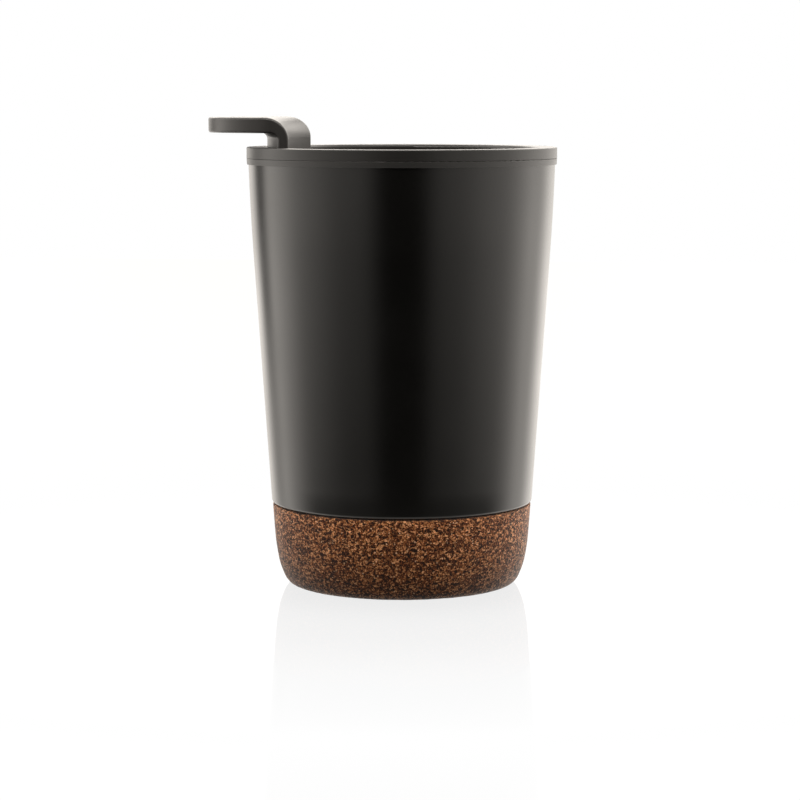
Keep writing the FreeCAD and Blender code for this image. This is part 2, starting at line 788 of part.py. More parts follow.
def make_closure_disc(doc, d):
    """Turning disc with its stud and ports, and the tab that reaches over the rim."""
    body = new_body(doc, "closure_disc")
    disc = d.disc_top - d.disc_bottom
    corners = [
        Corner(ZERO, d.disc_top),
        Corner(ZERO, d.stud_bottom),
        Corner(d.stud_radius, d.stud_bottom),
        Corner(d.stud_radius, d.disc_bottom),
        Corner(d.disc_radius, d.disc_bottom),
        Corner(d.disc_radius, d.disc_top),
    ]
    revolve(body, "disc", corners)
    sketch = new_sketch(body, "pilot_circle", "XY_Plane", d.stud_bottom)
    draw_circle(sketch, ZERO, ZERO, d.screw_shank_radius)
    pocket(body, "pilot", sketch, d.pilot_depth, upward=True)

    inner = d.disc_radius - d.tab_wall
    root = d.disc_top - disc / as_size(2)
    flank = d.tab_half_width
    reach = d.tab_end_centre + flank + d.cut_margin
    corners = [
        Corner(-inner, root),
        Corner(-inner, d.tab_top, fillet=d.tab_bend_radius),
        Corner(-reach, d.tab_top),
        Corner(-reach, d.tab_bottom),
        Corner(-d.disc_radius, d.tab_bottom, fillet=d.tab_heel_radius),
        Corner(-d.disc_radius, root),
    ]
    revolve(body, "tab", corners, angle=TAB_SWEEP)
    near = inner - flank
    sketch = new_sketch(body, "tab_plan", "XY_Plane", d.disc_top)
    draw_outline(sketch, [
        Corner(-near, -reach),
        Corner(-near, reach),
        Corner(-reach - d.cut_margin, reach),
        Corner(-reach - d.cut_margin, -reach),
    ])
    draw_outline(sketch, [
        Corner(-near - d.cut_margin, -flank),
        Corner(-near - d.cut_margin, flank),
        Corner(-d.tab_end_centre, flank),
        Corner(-d.tab_end_centre, -flank, smooth=True),
    ])
    pocket(body, "tab_sides", sketch, d.tab_top - d.disc_top + d.cut_margin, upward=True)

    drink_angle = -d.quarter_turn
    sketch = new_sketch(body, "drink_port_outline", "XY_Plane", d.disc_top)
    draw_outline(sketch, port_outline(d, drink_angle, ZERO))
    pocket(body, "drink_port", sketch, disc)
    vent_x, vent_y = polar(d.port_radius, d.vent_angle - d.quarter_turn)
    sketch = new_sketch(body, "vent_port_circle", "XY_Plane", d.disc_top)
    draw_circle(sketch, vent_x, vent_y, d.vent_radius)
    pocket(body, "vent_port", sketch, disc)

    half = d.stop_radius + d.stop_clearance
    inner = d.stop_track_radius - half
    outer = d.stop_track_radius + half
    first = d.stop_angle - d.quarter_turn
    sketch = new_sketch(body, "stop_track_outline", "XY_Plane", d.disc_bottom)
    draw_outline(sketch, [
        Corner(*polar(outer, first), smooth=True),
        Corner(*polar(outer, d.stop_angle), radius=outer, side=-1),
        Corner(*polar(inner, d.stop_angle), smooth=True),
        Corner(*polar(inner, first), radius=inner, side=1),
    ])
    pocket(body, "stop_track", sketch, d.stop_track_depth, upward=True)

    def tab_edge(edge):
        box = edge.BoundBox
        if box.ZMax < d.disc_top.value + 0.1:
            return False
        on_flank = abs(abs(box.YMin) - flank.value) < 0.01 and box.YLength < 0.01
        on_end = box.ZLength < 0.01 and box.XMin < -d.tab_end_centre.value - 1
        return on_flank or on_end

    soften(body, "tab_edges", "Fillet", tab_edge, d.tab_edge_round)
    rim = level_ring(d.disc_radius.value, d.disc_bottom.value)
    soften(body, "disc_edge_bevel", "Chamfer", rim, d.disc_edge)
    place(body)
    return body


def make_spring_washer(doc, d):
    """Coned spring washer that keeps the closure pulled down on its gaskets."""
    body = new_body(doc, "spring_washer")
    inner = d.stud_radius + d.bore_gap
    outer = d.washer_radius - d.spring_inset
    corners = [
        Corner(inner, d.spring_height - d.spring_thickness),
        Corner(outer, ZERO),
        Corner(outer, d.spring_thickness),
        Corner(inner, d.spring_height),
    ]
    revolve(body, "cone", corners)
    place(body, d.stud_bottom + d.spring_lift)
    return body


# ---------------------------------------------------------------- assembly

def build(doc):
    """Make every sub-part and return them in order."""
    d = Sheet(doc)
    neck_outer = d.neck_radius + d.neck_wall
    lip_top = d.sleeve_bottom + d.sleeve_wall
    parts = [
        make_cork_base(doc, d),
        make_foot_pad(doc, d),
        make_base_carrier(doc, d),
        make_outer_sleeve(doc, d),
        make_inner_liner(doc, d),
        make_ring(doc, "rim_seal_ring", neck_outer, d.rim_seal_radius, d.rim_seal_height,
                  d.rim_bottom - d.rim_seal_height),
        make_ring(doc, "base_seal_ring", d.base_seal_inner, d.base_seal_outer,
                  d.rib_bottom - lip_top, lip_top),
    ]
    base_screw = (d.base_screw_head_radius, d.base_screw_head_height, d.base_screw_length)
    for number in range(BASE_SCREWS):
        x, y = polar(d.screw_circle_radius, 360.0 * number / BASE_SCREWS)
        label = "carrier_screw_%d" % (number + 1)
        parts.append(make_screw(doc, d, label, base_screw, d.cork_floor, x, y))
    parts += [
        make_lid_body(doc, d),
        make_lid_seal(doc, d),
        make_drink_gasket(doc, d),
        make_vent_gasket(doc, d),
        make_pivot_o_ring(doc, d),
        make_closure_disc(doc, d),
        make_spring_washer(doc, d),
        make_ring(doc, "pivot_washer", d.screw_shank_radius + d.bore_gap, d.washer_radius,
                  d.washer_thickness, d.stud_bottom - d.washer_thickness),
    ]
    pivot_screw = (d.pivot_screw_head_radius, d.pivot_screw_head_height, d.pivot_screw_length)
    parts.append(make_screw(doc, d, "pivot_screw", pivot_screw,
                            d.stud_bottom - d.washer_thickness))
    return parts


def check(doc, parts):
    """Stop if any object failed or any sub-part has no sound shape."""
    for item in doc.Objects:
        if "Invalid" in item.State or "Error" in item.State:
            raise RuntimeError("%s failed: %s" % (item.Name, item.State))
    for part in parts:
        if part.Shape.isNull() or not part.Shape.isValid():
            raise RuntimeError("%s has no valid shape" % part.Label)
        if len(part.Shape.Solids) != 1:
            raise RuntimeError("%s is not one solid" % part.Label)


def main():
    doc = FreeCAD.newDocument("travel_cup")
    parts = build(doc)
    doc.recompute()
    check(doc, parts)
    os.makedirs("parts", exist_ok=True)
    for part in parts:
        part.Shape.exportStep("parts/%s.step" % part.Label)


main()
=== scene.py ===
"""Looks of the travel cup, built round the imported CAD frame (metres, +Z up, origin under the base)."""
import json
import math

import bpy
from mathutils import Matrix, Vector, noise


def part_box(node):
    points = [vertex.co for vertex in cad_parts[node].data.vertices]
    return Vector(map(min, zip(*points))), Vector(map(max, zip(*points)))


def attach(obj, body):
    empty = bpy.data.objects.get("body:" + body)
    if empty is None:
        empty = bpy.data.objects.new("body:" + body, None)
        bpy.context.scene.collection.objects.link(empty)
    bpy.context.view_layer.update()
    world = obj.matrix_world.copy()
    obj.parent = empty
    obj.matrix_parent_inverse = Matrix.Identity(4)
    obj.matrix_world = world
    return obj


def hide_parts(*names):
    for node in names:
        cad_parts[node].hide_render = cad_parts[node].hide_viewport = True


MM = 0.001

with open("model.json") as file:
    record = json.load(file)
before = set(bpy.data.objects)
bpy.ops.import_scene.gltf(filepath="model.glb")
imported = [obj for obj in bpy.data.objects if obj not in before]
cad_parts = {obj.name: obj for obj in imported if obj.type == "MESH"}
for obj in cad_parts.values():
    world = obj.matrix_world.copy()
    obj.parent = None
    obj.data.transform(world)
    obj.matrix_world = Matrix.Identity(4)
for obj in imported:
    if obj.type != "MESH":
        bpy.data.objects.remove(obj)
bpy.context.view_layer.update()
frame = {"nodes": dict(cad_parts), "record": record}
nodes = frame["nodes"]

# ---------------------------------------------------------------- camera
CAMERA_AZIMUTH = math.radians(7.0)     # the tab points a little away from the camera
CAMERA_DISTANCE = 779 * MM
CAMERA_HEIGHT = 140 * MM
CAMERA_PITCH = math.radians(6.41)
CAMERA_ASIDE = 0.52 * MM
CAMERA_LENS = 123.1
SENSOR_WIDTH = 36

towards_camera = Vector((math.sin(CAMERA_AZIMUTH), -math.cos(CAMERA_AZIMUTH), 0))
camera_right = Vector((math.cos(CAMERA_AZIMUTH), math.sin(CAMERA_AZIMUTH), 0))


def make_camera():
    data = bpy.data.cameras.new("camera")
    data.lens = CAMERA_LENS
    data.sensor_width = SENSOR_WIDTH
    data.clip_start = 0.01
    data.clip_end = 50
    camera = bpy.data.objects.new("camera", data)
    bpy.context.scene.collection.objects.link(camera)
    spot = towards_camera * CAMERA_DISTANCE - camera_right * CAMERA_ASIDE
    camera.location = (spot.x, spot.y, CAMERA_HEIGHT)
    camera.rotation_euler = (math.pi / 2 - CAMERA_PITCH, 0, CAMERA_AZIMUTH)
    bpy.context.scene.camera = camera


# ---------------------------------------------------------------- node helpers

class Graph:
    """A node tree with short calls for adding and linking nodes."""

    def __init__(self, tree):
        self.tree = tree
        tree.nodes.clear()

    def add(self, kind, **settings):
        node = self.tree.nodes.new(kind)
        for key, value in settings.items():
            setattr(node, key, value)
        return node

    def link(self, output, target):
        self.tree.links.new(output, target)

    def feed(self, target, value):
        if isinstance(value, bpy.types.NodeSocket):
            self.link(value, target)
        else:
            target.default_value = value

    def math(self, operation, first, second=None, third=None):
        node = self.add("ShaderNodeMath", operation=operation)
        for socket, value in zip(node.inputs, (first, second, third)):
            if value is not None:
                self.feed(socket, value)
        return node.outputs[0]

    def vector(self, operation, first, second):
        node = self.add("ShaderNodeVectorMath", operation=operation)
        self.feed(node.inputs[0], first)
        self.feed(node.inputs[1], second)
        return node.outputs["Value" if operation == "DOT_PRODUCT" else "Vector"]

    def stretch(self, value, low, high, to_low=0.0, to_high=1.0, smooth=False):
        """Map the range low..high onto to_low..to_high, held at both ends."""
        kind = "SMOOTHSTEP" if smooth else "LINEAR"
        node = self.add("ShaderNodeMapRange", interpolation_type=kind)
        for socket, number in zip(node.inputs, (value, low, high, to_low, to_high)):
            self.feed(socket, number)
        return node.outputs[0]

    def curve(self, value, points):
        """Smooth function of a number between 0 and 1, through the points."""
        node = self.add("ShaderNodeFloatCurve")
        line = node.mapping.curves[0]
        line.points[0].location = points[0]
        line.points[1].location = points[-1]
        for x, y in points[1:-1]:
            line.points.new(x, y)
        node.mapping.use_clip = False
        node.mapping.update()
        self.feed(node.inputs["Value"], value)
        return node.outputs[0]

    def blend(self, factor, first, second, kind="FLOAT", blend_type="MIX"):
        node = self.add("ShaderNodeMix", data_type=kind)
        if kind == "RGBA":
            node.blend_type = blend_type
        sockets = {"FLOAT": (2, 3), "RGBA": (6, 7)}[kind]
        self.feed(node.inputs[0], factor)
        self.feed(node.inputs[sockets[0]], first)
        self.feed(node.inputs[sockets[1]], second)
        return node.outputs[2 if kind == "RGBA" else 0]

    def ramp(self, value, stops):
        """Colour along a number: stops are (place, (red, green, blue))."""
        node = self.add("ShaderNodeValToRGB")
        line = node.color_ramp
        line.elements[0].position = stops[0][0]
        line.elements[0].color = (*stops[0][1], 1)
        line.elements[1].position = stops[-1][0]
        line.elements[1].color = (*stops[-1][1], 1)
        for place, colour in stops[1:-1]:
            line.elements.new(place).color = (*colour, 1)
        self.link(value, node.inputs[0])
        return node.outputs[0]

    def noise(self, where, size, detail=2.0, rough=0.5):
        """Soft noise between 0 and 1 whose blotches are about the size across, in metres."""
        node = self.add("ShaderNodeTexNoise")
        node.inputs["Scale"].default_value = 1 / size
        node.inputs["Detail"].default_value = detail
        node.inputs["Roughness"].default_value = rough
        self.link(where, node.inputs["Vector"])
        return node

    def cells(self, where, size, feature="F1"):
        """Cells about the size across, in metres."""
        node = self.add("ShaderNodeTexVoronoi", feature=feature)
        node.inputs["Scale"].default_value = 1 / size
        self.link(where, node.inputs["Vector"])
        return node

    def bump(self, height, depth, under=None):
        """Relief of the depth in metres, on top of another relief if one is given."""
        node = self.add("ShaderNodeBump")
        node.inputs["Strength"].default_value = 1.0
        node.inputs["Distance"].default_value = depth
        self.link(height, node.inputs["Height"])
        if under is not None:
            self.link(under, node.inputs["Normal"])
        return node.outputs[0]

    def place(self):
        return self.add("ShaderNodeTexCoord").outputs["Object"]


# ---------------------------------------------------------------- studio

# what shiny surfaces mirror: brightness of the walls against the angle away from the camera, in degrees
LEFT_WALL = [(0, 0.0), (12, 0.0), (30, 0.68), (48, 0.88), (66, 1.4), (86, 2.0), (104, 2.85), (117, 2.85),
             (122, 2.3), (127, 0.9), (131, 0.3), (137, 0.2), (141, 0.6), (146, 1.5), (152, 1.9),
             (160, 1.8), (168, 1.5), (180, 1.3)]
LEFT_WALL_LOW = [(0, 0.0), (12, 0.0), (30, 0.68), (48, 0.88), (66, 1.4), (86, 2.0), (104, 2.85),
                 (117, 2.85), (124, 2.3), (130, 1.6), (136, 1.3), (141, 1.4), (148, 1.8), (156, 1.8),
                 (168, 1.5), (180, 1.3)]
RIGHT_WALL = [(0, 0.0), (12, 0.0), (30, 0.62), (48, 0.9), (66, 1.38), (86, 1.75), (104, 2.5), (115, 2.75),
              (127, 1.95), (133, 2.05), (140, 2.3), (147, 2.4), (154, 2.15), (161, 1.85), (168, 1.6),
              (180, 1.3)]
WALL_SCALE = 6.0
# the left wall changes from its low to its high row over this span, in sine of the height angle
LEFT_WALL_CHANGE = (-0.16, -0.11)
# the walls darken towards the floor: brightness against the sine of the height angle
LOW_LIGHT = [(-1.0, 0.5), (-0.6, 0.45), (-0.45, 0.25), (-0.35, 0.12), (-0.275, 0.15), (-0.265, 0.22),
             (-0.256, 0.32), (-0.23, 0.52), (-0.2, 0.7), (-0.18, 0.8), (-0.15, 0.97), (-0.1, 1.05),
             (-0.05, 0.88), (0.0, 0.85), (0.05, 1.0), (0.4, 1.1)]
LOW_END = -1.0
HIGH_END = 0.4
# beyond these degrees the walls stay at least this bright down to the floor
BESIDE_TURN = (84 / 180, 120 / 180)
BESIDE_LIGHT = (0.1, 0.9)
FLOOR_GLOW = 0.8
FLOOR_GLOW_HEIGHT = (-0.7, -0.45)
# higher up the wall behind the cup glows
BACK_GLOW = 5.0
BACK_GLOW_TURN = (145 / 180, 165 / 180)
BACK_GLOW_HEIGHT = (0.08, 0.3)
# the ceiling takes over from the walls, is dimmer in front, and dims once more right overhead
CEILING = 2.6
CEILING_HEIGHT = (0.3, 0.7)
CEILING_IN_FRONT = 0.5
CEILING_FRONT = (-0.1, 0.5)
ZENITH = 1.2
ZENITH_HEIGHT = (0.75, 0.95)
# soft boxes: brightness, and where each edge starts and ends, in sine of the height and in degrees from
# the camera; the front box goes right across, so its first two angles lie below nought
RIGHT_BOX = 6.0
RIGHT_BOX_HEIGHT = (0.12, 0.35, 0.7, 0.85)
RIGHT_BOX_TURN = (60, 90, 135, 155)
FRONT_BOX = 7.0
FRONT_BOX_HEIGHT = (0.58, 0.72, 0.85, 0.95)
FRONT_BOX_TURN = (-2, -1, 40, 70)
STUDIO_TINT = (1.0, 0.945, 0.88, 1)
# what lights matte surfaces: one soft room, dimmer in front and dark towards the floor
SOFT_FRONT = 0.5
SOFT_SIDE = 1.6
SOFT_TURN = (20 / 180, 100 / 180)
SOFT_LOW = 0.0
SOFT_HIGH = 1.25
SOFT_HEIGHT = (-0.35, 0.5)
SOFT_TINT = (1.0, 0.97, 0.93, 1)
SEEN_WHITE = (1, 1, 1, 1)


def soft_box(g, height, turn, light, heights, turns):
    """Bright patch with soft edges."""
    box = light
    for value, marks, scale in ((height, heights, 1), (turn, turns, 180)):
        low_edge, low_full, high_full, high_edge = (mark / scale for mark in marks)
        box = g.math("MULTIPLY", box, g.stretch(value, low_edge, low_full, smooth=True))
        box = g.math("MULTIPLY", box, g.stretch(value, high_full, high_edge, 1.0, 0.0, smooth=True))
    return box


def mirrored_light(g, front, height, angle, turn):
    """Brightness of the studio as polished surfaces see it."""
    sides = []
    for wall in (LEFT_WALL, LEFT_WALL_LOW, RIGHT_WALL):
        sides.append(g.curve(turn, [(degrees / 180, light / WALL_SCALE) for degrees, light in wall]))
    upper = g.stretch(height, *LEFT_WALL_CHANGE)
    left = g.blend(upper, sides[1], sides[0])
    on_right = g.math("GREATER_THAN", angle, 0.0)
    walls = g.math("MULTIPLY", g.blend(on_right, left, sides[2]), WALL_SCALE)
    reach = HIGH_END - LOW_END
    level = g.stretch(height, LOW_END, HIGH_END)
    low = g.curve(level, [((sine - LOW_END) / reach, light) for sine, light in LOW_LIGHT])
    beside = g.stretch(turn, *BESIDE_TURN, *BESIDE_LIGHT)
    walls = g.math("MULTIPLY", walls, g.math("MAXIMUM", low, beside))
    walls = g.math("MAXIMUM", walls, g.stretch(height, *FLOOR_GLOW_HEIGHT, FLOOR_GLOW, 0.0))
    glow = g.stretch(turn, *BACK_GLOW_TURN)
    glow = g.math("MULTIPLY", glow, g.stretch(height, *BACK_GLOW_HEIGHT, 0.0, BACK_GLOW))
    walls = g.math("MAXIMUM", walls, glow)
    above = g.stretch(front, *CEILING_FRONT, CEILING, CEILING * CEILING_IN_FRONT)
    above = g.blend(g.stretch(height, *ZENITH_HEIGHT, smooth=True), above, ZENITH)
    room = g.blend(g.stretch(height, *CEILING_HEIGHT, smooth=True), walls, above)
    right_box = soft_box(g, height, turn, RIGHT_BOX, RIGHT_BOX_HEIGHT, RIGHT_BOX_TURN)
    room = g.math("MAXIMUM", room, g.math("MULTIPLY", right_box, on_right))
    return g.math("MAXIMUM", room, soft_box(g, height, turn, FRONT_BOX, FRONT_BOX_HEIGHT, FRONT_BOX_TURN))


def soft_light(g, height, turn):
    """Brightness of the studio as matte surfaces see it."""
    around = g.stretch(turn, *SOFT_TURN, SOFT_FRONT, SOFT_SIDE)
    return g.math("MULTIPLY", around, g.stretch(height, *SOFT_HEIGHT, SOFT_LOW, SOFT_HIGH))


def backdrop(g, colour, strength):
    node = g.add("ShaderNodeBackground")
    node.inputs["Color"].default_value = colour
    g.feed(node.inputs["Strength"], strength)
    return node.outputs[0]


def make_world():
    """A white studio: bright walls at the sides and behind, dark round the camera."""
    world = bpy.data.worlds.new("studio")
    bpy.context.scene.world = world
    world.use_nodes = True
    g = Graph(world.node_tree)
    direction = g.add("ShaderNodeTexCoord").outputs["Generated"]
    front = g.vector("DOT_PRODUCT", direction, towards_camera)
    side = g.vector("DOT_PRODUCT", direction, camera_right)
    height = g.vector("DOT_PRODUCT", direction, (0, 0, 1))
    angle = g.math("ARCTAN2", side, front)
    turn = g.math("DIVIDE", g.math("ABSOLUTE", angle), math.pi)
    mirrored = backdrop(g, STUDIO_TINT, mirrored_light(g, front, height, angle, turn))
    soft = backdrop(g, SOFT_TINT, soft_light(g, height, turn))
    plain = backdrop(g, SEEN_WHITE, 1.0)
    rays = g.add("ShaderNodeLightPath")
    lit = g.add("ShaderNodeMixShader")
    g.link(rays.outputs["Is Diffuse Ray"], lit.inputs[0])
    g.link(mirrored, lit.inputs[1])
    g.link(soft, lit.inputs[2])
    shader = g.add("ShaderNodeMixShader")
    g.link(rays.outputs["Is Camera Ray"], shader.inputs[0])
    g.link(lit.outputs[0], shader.inputs[1])
    g.link(plain, shader.inputs[2])
    output = g.add("ShaderNodeOutputWorld")
    g.link(shader.outputs[0], output.inputs["Surface"])


FLOOR_SIZE = 3.0
MIRROR_REACH = 0.2
MIRROR_ROUGHNESS = 0.03
# share of mirror image in the floor against the distance from the cup's axis, over MIRROR_REACH
MIRROR = [(0.0, 0.18), (0.15, 0.18), (0.3, 0.12), (0.43, 0.10), (0.55, 0.073), (0.67, 0.047),
          (0.78, 0.033), (0.88, 0.018), (0.97, 0.0), (1.0, 0.0)]


def make_floor():
    """White floor, clear from below, that holds a faint mirror image of the cup."""
    bpy.ops.mesh.primitive_plane_add(size=FLOOR_SIZE, location=(0, 0, 0))
    floor = bpy.context.object
    floor.name = "floor"
    material = bpy.data.materials.new("floor_white")
    material.use_nodes = True
    g = Graph(material.node_tree)
    spot = g.add("ShaderNodeNewGeometry").outputs["Position"]
    length = g.add("ShaderNodeVectorMath", operation="LENGTH")
    g.link(spot, length.inputs[0])
    amount = g.curve(g.math("DIVIDE", length.outputs["Value"], MIRROR_REACH), MIRROR)
    glossy = g.add("ShaderNodeBsdfGlossy")
    glossy.inputs["Roughness"].default_value = MIRROR_ROUGHNESS
    glow = g.add("ShaderNodeEmission")
    glow.inputs["Strength"].default_value = 1.0
    surface = g.add("ShaderNodeMixShader")
    g.link(amount, surface.inputs[0])
    g.link(glow.outputs[0], surface.inputs[1])
    g.link(glossy.outputs[0], surface.inputs[2])
    from_below = g.add("ShaderNodeNewGeometry").outputs["Backfacing"]
    clear = g.add("ShaderNodeBsdfTransparent")
    shader = g.add("ShaderNodeMixShader")
    g.link(from_below, shader.inputs[0])
    g.link(surface.outputs[0], shader.inputs[1])
    g.link(clear.outputs[0], shader.inputs[2])
    output = g.add("ShaderNodeOutputMaterial")
    g.link(shader.outputs[0], output.inputs["Surface"])
    floor.data.materials.append(material)
    floor.visible_diffuse = False
    floor.visible_glossy = False
    floor.visible_shadow = False


# ---------------------------------------------------------------- materials

def new_surface(name, roughness, metallic=0.0, ior=1.5):
    """A Principled material: returns it, its graph and its shader."""
    material = bpy.data.materials.new(name)
    material.use_nodes = True
    g = Graph(material.node_tree)
    shader = g.add("ShaderNodeBsdfPrincipled")
    shader.inputs["Roughness"].default_value = roughness
    shader.inputs["Metallic"].default_value = metallic
    shader.inputs["IOR"].default_value = ior
    output = g.add("ShaderNodeOutputMaterial")
    g.link(shader.outputs[0], output.inputs["Surface"])
    return material, g, shader


def coated_steel():
    """Satin black coating: faint orange peel, fine speckle, slightly uneven gloss."""
    material, g, shader = new_surface("coated_steel", 0.22)
    where = g.place()
    speckle = g.noise(where, 0.25 * MM).outputs[0]
    clouds = g.noise(where, 18 * MM, detail=3).outputs[0]
    tone = g.ramp(speckle, [(0.35, (0.0014, 0.0014, 0.0013)), (0.65, (0.0032, 0.0031, 0.0028))])
    g.link(tone, shader.inputs["Base Color"])
    gloss = g.stretch(g.math("ADD", clouds, g.math("MULTIPLY", speckle, 0.3)), 0.4, 0.9, 0.2, 0.25)
    g.link(gloss, shader.inputs["Roughness"])
    peel = g.bump(g.noise(where, 1.6 * MM).outputs[0], 0.002 * MM)
    g.link(g.bump(speckle, 0.001 * MM, peel), shader.inputs["Normal"])
    return material


def moulded_plastic(name, dark, light, gloss, grain, depth, ior=1.5):
    """Black moulding with a fine spark-eroded texture and faint flow clouds."""
    material, g, shader = new_surface(name, gloss, ior=ior)
    where = g.place()
    clouds = g.noise(where, 9 * MM, detail=3).outputs[0]
    pits = g.noise(where, grain, detail=2).outputs[0]
    tone = g.math("ADD", g.math("MULTIPLY", clouds, 0.6), g.math("MULTIPLY", pits, 0.4))
    g.link(g.ramp(tone, [(0.35, dark), (0.65, light)]), shader.inputs["Base Color"])
    g.link(g.stretch(tone, 0.35, 0.65, gloss + 0.03, gloss - 0.03), shader.inputs["Roughness"])
    g.link(g.bump(pits, depth), shader.inputs["Normal"])
    return material


# grains of two sizes, one flattened and one upright, with edges bent by a fine wobble
BIG_GRAIN = 0.62 * MM
BIG_SQUEEZE = (0.8, 0.8, 1.4)
SMALL_GRAIN = 0.36 * MM
SMALL_SQUEEZE = (1.3, 1.3, 0.8)
WOBBLE_SIZE = 0.8 * MM
WOBBLE = 0.8 * MM
FIBRE_SIZE = 0.2 * MM
FIBRE_SHARE = 0.6
PATCH_SIZE = 4 * MM
PATCH_SHARE = 0.15
CORK_BROWNS = [(0.24, (0.004, 0.0008, 0.0002)), (0.4, (0.045, 0.011, 0.0028)),
               (0.52, (0.18, 0.052, 0.014)), (0.66, (0.46, 0.155, 0.05)), (0.82, (0.95, 0.47, 0.21))]
# a few pale chips, dark glue in the seams, and painted shade that darkens the cork towards its foot
CHIP_ACROSS = 0.62 * MM
CHIP_SHARE = 0.09
CHIP_EDGE = (0.25, 0.4)
CHIP_COLOUR = (0.95, 0.6, 0.36, 1)
SEAM_WIDTH = 0.16
SEAM_DARK = 0.3
FOOT_SHADE_SPAN = (2 * MM, 21 * MM)
FOOT_SHADE_LEVEL = 0.45
CORK_RELIEF = 0.06 * MM


def cork_agglomerate():
    """Dark agglomerated cork: pressed grains of mixed browns, pale flakes and dark glue, with painted
    shade towards the foot.
    """
    material, g, shader = new_surface("cork", 0.6, ior=1.3)
    shader.inputs["Sheen Weight"].default_value = 0.15
    shader.inputs["Specular IOR Level"].default_value = 0.3
    shader.inputs["Sheen Roughness"].default_value = 0.4
    where = g.place()
    wobble = g.noise(where, WOBBLE_SIZE, detail=2).outputs["Color"]
    shift = g.vector("MULTIPLY", g.vector("SUBTRACT", wobble, (0.5, 0.5, 0.5)), (WOBBLE,) * 3)
    bent = g.vector("ADD", where, shift)
    flat = g.vector("MULTIPLY", bent, BIG_SQUEEZE)
    tall = g.vector("MULTIPLY", bent, SMALL_SQUEEZE)
    big = g.cells(flat, BIG_GRAIN)
    small = g.cells(tall, SMALL_GRAIN)
    seams = g.cells(flat, BIG_GRAIN, "DISTANCE_TO_EDGE").outputs["Distance"]
    grain = g.add("ShaderNodeSeparateColor")
    g.link(big.outputs["Color"], grain.inputs[0])
    crumb = g.add("ShaderNodeSeparateColor")
    g.link(small.outputs["Color"], crumb.inputs[0])
    fibre = g.noise(bent, FIBRE_SIZE, detail=1).outputs[0]
    patch = g.noise(where, PATCH_SIZE, detail=2).outputs[0]
    mixed = g.math("ADD", g.math("MULTIPLY", grain.outputs[0], 0.5),
                   g.math("MULTIPLY", crumb.outputs[1], 0.5))
    for cloud, share in ((fibre, FIBRE_SHARE), (patch, PATCH_SHARE)):
        mixed = g.math("ADD", mixed, g.math("MULTIPLY", g.math("SUBTRACT", cloud, 0.5), share))
    brown = g.ramp(mixed, CORK_BROWNS)
    chips = g.cells(bent, CHIP_ACROSS)
    lot = g.add("ShaderNodeSeparateColor")
    g.link(chips.outputs["Color"], lot.inputs[0])
    bright = g.math("GREATER_THAN", lot.outputs[2], 1.0 - CHIP_SHARE)
    speck = g.stretch(chips.outputs["Distance"], *CHIP_EDGE, 1.0, 0.0)
    brown = g.blend(g.math("MULTIPLY", bright, speck), brown, CHIP_COLOUR, "RGBA")
    glue_and_foot_shade = g.stretch(seams, 0.0, SEAM_WIDTH, SEAM_DARK, 1.0, smooth=True)
    split = g.add("ShaderNodeSeparateXYZ")
    g.link(where, split.inputs[0])
    # painted shade: the cork's colour is darkened towards its foot, most at the low end of the span and
    # not at all above it
    glue_and_foot_shade = g.math("MULTIPLY", glue_and_foot_shade, g.stretch(split.outputs[2], *FOOT_SHADE_SPAN, FOOT_SHADE_LEVEL, 1.0))
    shade = g.add("ShaderNodeCombineColor")
    for socket in shade.inputs[:3]:
        g.link(glue_and_foot_shade, socket)
    tone = g.blend(1.0, brown, shade.outputs[0], "RGBA", "MULTIPLY")
    g.link(tone, shader.inputs["Base Color"])
    g.link(g.stretch(mixed, 0.3, 0.8, 0.68, 0.46), shader.inputs["Roughness"])
    relief = g.math("ADD", g.math("MULTIPLY", glue_and_foot_shade, 0.6), g.math("MULTIPLY", mixed, 0.8))
    g.link(g.bump(relief, CORK_RELIEF), shader.inputs["Normal"])
    return material


def silicone():
    """Black silicone: matte, with fine mould texture and a little lint-grey bloom."""
    material, g, shader = new_surface("silicone", 0.6, ior=1.42)
    where = g.place()
    bloom = g.noise(where, 3 * MM, detail=4, rough=0.6).outputs[0]
    pores = g.noise(where, 0.2 * MM).outputs[0]
    g.link(g.ramp(bloom, [(0.4, (0.013, 0.013, 0.013)), (0.75, (0.03, 0.03, 0.029))]),
           shader.inputs["Base Color"])
    g.link(g.stretch(bloom, 0.3, 0.7, 0.66, 0.52), shader.inputs["Roughness"])
    g.link(g.bump(pores, 0.01 * MM), shader.inputs["Normal"])
    return material


def stainless():
    """Turned stainless steel: fine rings of tool marks round the axis."""
    material, g, shader = new_surface("stainless", 0.3, metallic=1.0)
    where = g.place()
    squeeze = g.vector("MULTIPLY", where, (1.0, 1.0, 12.0))
    marks = g.noise(squeeze, 0.4 * MM, detail=2).outputs[0]
    g.link(g.ramp(marks, [(0.3, (0.42, 0.42, 0.41)), (0.7, (0.60, 0.60, 0.58))]),
           shader.inputs["Base Color"])
    g.link(g.stretch(marks, 0.3, 0.7, 0.38, 0.24), shader.inputs["Roughness"])
    g.link(g.bump(marks, 0.004 * MM), shader.inputs["Normal"])
    return material


LOOKS = {
    "coated_steel": coated_steel(),
    "black_plastic": moulded_plastic("black_plastic", (0.008, 0.0077, 0.007), (0.012, 0.0115, 0.0105),
                                     0.35, 0.22 * MM, 0.01 * MM, ior=1.46),
    "tab_plastic": moulded_plastic("tab_plastic", (0.015, 0.0138, 0.0130), (0.021, 0.0195, 0.0183),
                                   0.35, 0.2 * MM, 0.008 * MM),
    "liner_plastic": moulded_plastic("liner_plastic", (0.012, 0.0117, 0.011), (0.018, 0.0175, 0.0165),
                                     0.38, 0.3 * MM, 0.006 * MM),
    "cork": cork_agglomerate(),
    "silicone": silicone(),
    "stainless": stainless(),
}

for sub in frame["record"]["subparts"]:
    node = nodes[sub["node"]]
    node.data.materials.clear()
    node.data.materials.append(LOOKS[sub["material_slot"]])


# ---------------------------------------------------------------- turned pieces

